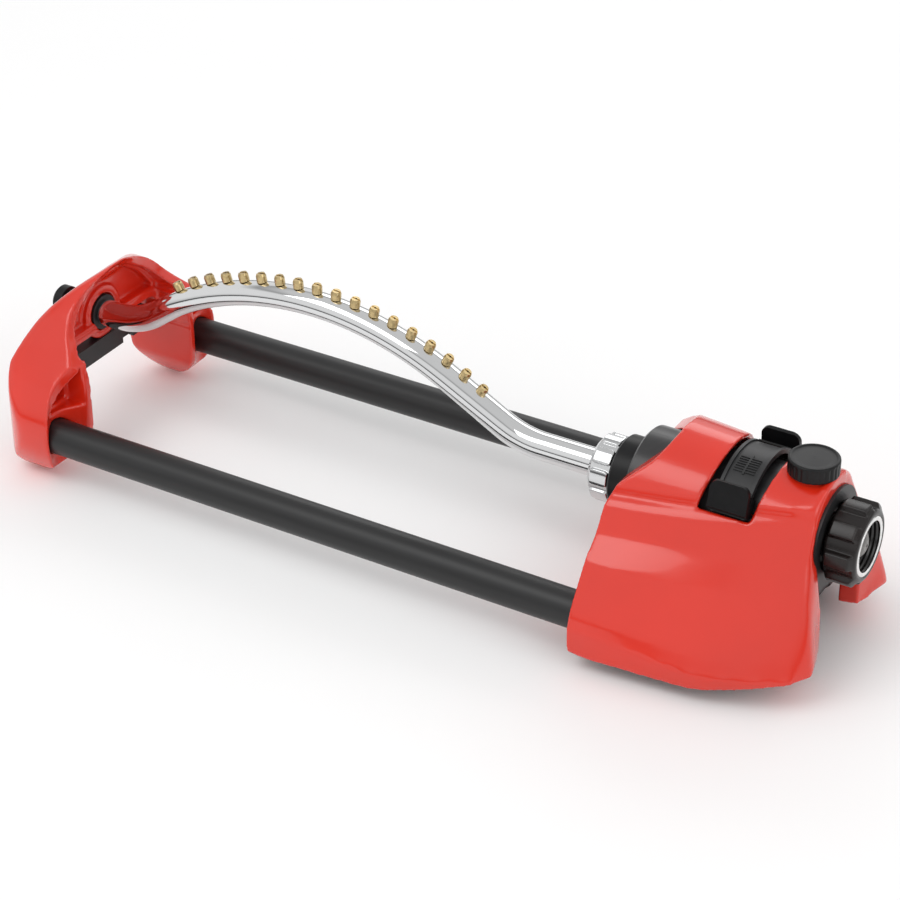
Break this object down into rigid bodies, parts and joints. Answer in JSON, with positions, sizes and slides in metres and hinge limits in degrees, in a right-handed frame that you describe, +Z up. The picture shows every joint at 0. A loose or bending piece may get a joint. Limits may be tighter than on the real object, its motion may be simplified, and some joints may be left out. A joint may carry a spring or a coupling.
{
  "type": "oscillating lawn sprinkler",
  "caption": "Oscillating lawn sprinkler: a bowed spray tube with brass nozzles swings between an end arch and a water-driven motor housing on two runner tubes.",
  "frame": {"origin": "on the ground, below the middle of the sprinkler's length and width", "axes": "+X along the sprinkler towards the hose inlet, parallel to the spray tube's swing axis; +Z up; +Y to the left when looking along +X"},
  "size_m": [0.472, 0.153, 0.1197],
  "materials": {
    "red_shell": "gloss",
    "black_tube": "satin",
    "chrome_tube": "polished",
    "chrome_nut": "polished",
    "jet_brass": "satin",
    "black_plastic": "satin",
    "black_control": "fine texture",
    "seal_rubber": "matte",
    "gear_plastic": "natural",
    "turbine_plastic": "natural",
    "pin_steel": "ground",
    "screw_steel": "zinc plated",
    "washer_rubber": "matte",
    "insert_metal": "die cast",
    "screen_steel": "woven wire"
  },
  "bodies": {
    "base": {"runner_left": "black_tube", "runner_right": "black_tube", "rear_arch": "red_shell", "rear_bushing": "black_plastic", "cross_brace": "black_plastic", "motor_housing": "red_shell", "neck_seal": "seal_rubber", "motor_case": "black_plastic", "gear_plate": "gear_plastic", "motor_cap": "black_plastic", "gear_pins": "pin_steel", "scale_plate": "black_control", "inlet_flange": "black_plastic", "valve_body": "black_plastic", "spindle_seal": "seal_rubber", "inlet_stem": "black_plastic", "base_cover": "black_plastic", "base_screws": "screw_steel", "drum_screws": "screw_steel"},
    "swing": {"spray_tube": "chrome_tube", "nozzles": "jet_brass", "union_nut": "chrome_nut", "tube_seal": "seal_rubber", "end_cap": "black_plastic", "output_neck": "black_plastic", "output_gear": "gear_plastic"},
    "second_stage": {"second_gear": "gear_plastic"},
    "first_stage": {"first_gear": "gear_plastic"},
    "rotor": {"turbine": "turbine_plastic"},
    "reverser": {"trip_ring": "gear_plastic"},
    "front_tab": {"front_range_tab": "black_control"},
    "rear_tab": {"rear_range_tab": "black_control"},
    "valve": {"valve_spindle": "gear_plastic", "flow_knob": "black_control"},
    "hose_swivel": {"coupling_grip": "black_plastic", "coupling_insert": "insert_metal", "hose_washer": "washer_rubber", "filter_screen": "screen_steel"}
  },
  "joints": [
    {"name": "tube_swing", "type": "hinge", "parent": "base", "child": "swing", "pos_m": [0, 0, 0.0653], "axis": [1, 0, 0], "range_deg": [-45, 45]},
    {"name": "second_gear_spin", "type": "hinge", "parent": "base", "child": "second_stage", "pos_m": [0.139, -0.0056, 0.0556], "axis": [1, 0, 0], "range_deg": [-136, 136]},
    {"name": "first_gear_spin", "type": "hinge", "parent": "base", "child": "first_stage", "pos_m": [0.147, 0.0056, 0.0556], "axis": [1, 0, 0], "range_deg": [-298, 298]},
    {"name": "turbine_spin", "type": "hinge", "parent": "base", "child": "rotor", "pos_m": [0.161, 0, 0.0653], "axis": [1, 0, 0], "range_deg": [-654, 654]},
    {"name": "reverser_shift", "type": "hinge", "parent": "base", "child": "reverser", "pos_m": [0.1695, 0, 0.0653], "axis": [1, 0, 0], "range_deg": [-2.5, 2.5]},
    {"name": "front_tab_slide", "type": "hinge", "parent": "base", "child": "front_tab", "pos_m": [0.1763, 0, 0.0653], "axis": [1, 0, 0], "range_deg": [-34, 0]},
    {"name": "rear_tab_slide", "type": "hinge", "parent": "base", "child": "rear_tab", "pos_m": [0.1763, 0, 0.0653], "axis": [1, 0, 0], "range_deg": [0, 34]},
    {"name": "flow_knob_turn", "type": "hinge", "parent": "base", "child": "valve", "pos_m": [0.205, 0, 0.1], "axis": [0, 0, 1], "range_deg": [0, 90]},
    {"name": "coupling_spin", "type": "hinge", "parent": "base", "child": "hose_swivel", "pos_m": [0.228, 0, 0.0653], "axis": [1, 0, 0], "continuous": true}
  ],
  "couplings": [
    {"joint": "second_gear_spin", "follows": "tube_swing", "ratio": -3},
    {"joint": "first_gear_spin", "follows": "tube_swing", "ratio": 6.6},
    {"joint": "turbine_spin", "follows": "tube_swing", "ratio": -14.52}
  ]
}
